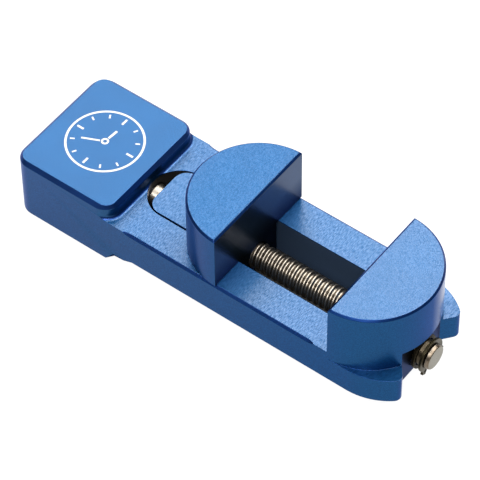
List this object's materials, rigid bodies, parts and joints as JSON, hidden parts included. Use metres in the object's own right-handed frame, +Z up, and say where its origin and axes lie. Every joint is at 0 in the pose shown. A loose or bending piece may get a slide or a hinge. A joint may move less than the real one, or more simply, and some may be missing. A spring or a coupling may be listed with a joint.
{
  "type": "watch movement holder",
  "caption": "Bar-type screw holder with a fixed and a sliding D-shaped jaw on a slotted aluminium bar, drawn together by a coarse lead screw.",
  "frame": {"origin": "under the middle of the overall length, on the centre line, at the level of the foot's underside", "axes": "+X along the bar from the head block to the fixed jaw, +Y across the bar, +Z up"},
  "size_m": [0.0986, 0.03, 0.0271],
  "materials": {
    "anodised_body": "satin blue anodised, fine milling grain",
    "anodised_jaw": "satin blue anodised, fine milling grain",
    "bronze": "plain turned bronze",
    "screw_steel": "rolled thread, polished crests",
    "hub_steel": "turned steel",
    "washer_steel": "ground steel",
    "spring_steel": "phosphated spring steel"
  },
  "bodies": {
    "frame": {"body": "anodised_body", "rear_bush": "bronze", "rear_washer": "washer_steel", "front_washer": "washer_steel"},
    "jaw": {"moving_jaw": "anodised_jaw", "jaw_nut": "bronze"},
    "screw": {"lead_screw": "screw_steel", "drive_hub": "hub_steel", "hub_pin": "hub_steel", "circlip": "spring_steel"}
  },
  "joints": [
    {"name": "screw_turn", "type": "hinge", "parent": "frame", "child": "screw", "pos_m": [0, 0, 0.00805], "axis": [1, 0, 0], "range_deg": [-6720, 120]},
    {"name": "jaw_slide", "type": "slide", "parent": "frame", "child": "jaw", "axis": [1, 0, 0], "range_m": [-0.00051, 0.02801]}
  ],
  "couplings": [
    {"joint": "jaw_slide", "follows": "screw_turn", "m_per_rad": -0.00023873}
  ]
}
